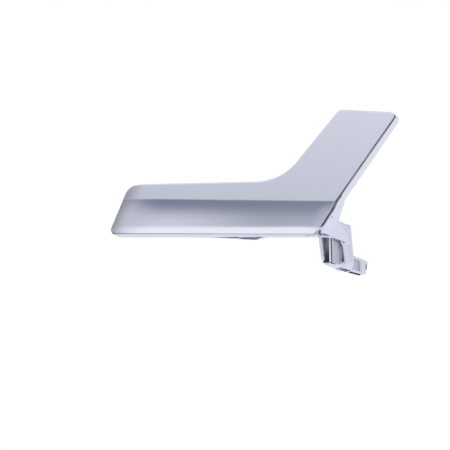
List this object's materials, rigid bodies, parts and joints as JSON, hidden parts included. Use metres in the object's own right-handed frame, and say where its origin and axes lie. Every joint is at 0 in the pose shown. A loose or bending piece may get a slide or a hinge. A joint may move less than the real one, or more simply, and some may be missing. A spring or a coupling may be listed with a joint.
{
  "type": "car interior door handle",
  "caption": "Chromed interior door release lever: a dished grip and slanted riser with a ribbed back, turning on a rear hinge bracket with a vertical pin bore and a cable foot.",
  "frame": {"origin": "middle of the hinge bore, on its axis", "axes": "+Z along the hinge axis, upwards; +X to the right as the face is seen, along the grip; +Y away from the face, into the door"},
  "size_m": [0.1686, 0.0485, 0.0832],
  "materials": {
    "satin_chrome": "satin",
    "bright_chrome": "gloss"
  },
  "bodies": {
    "root": {"front_cover": "satin_chrome", "rear_carrier": "bright_chrome"}
  },
  "joints": []
}
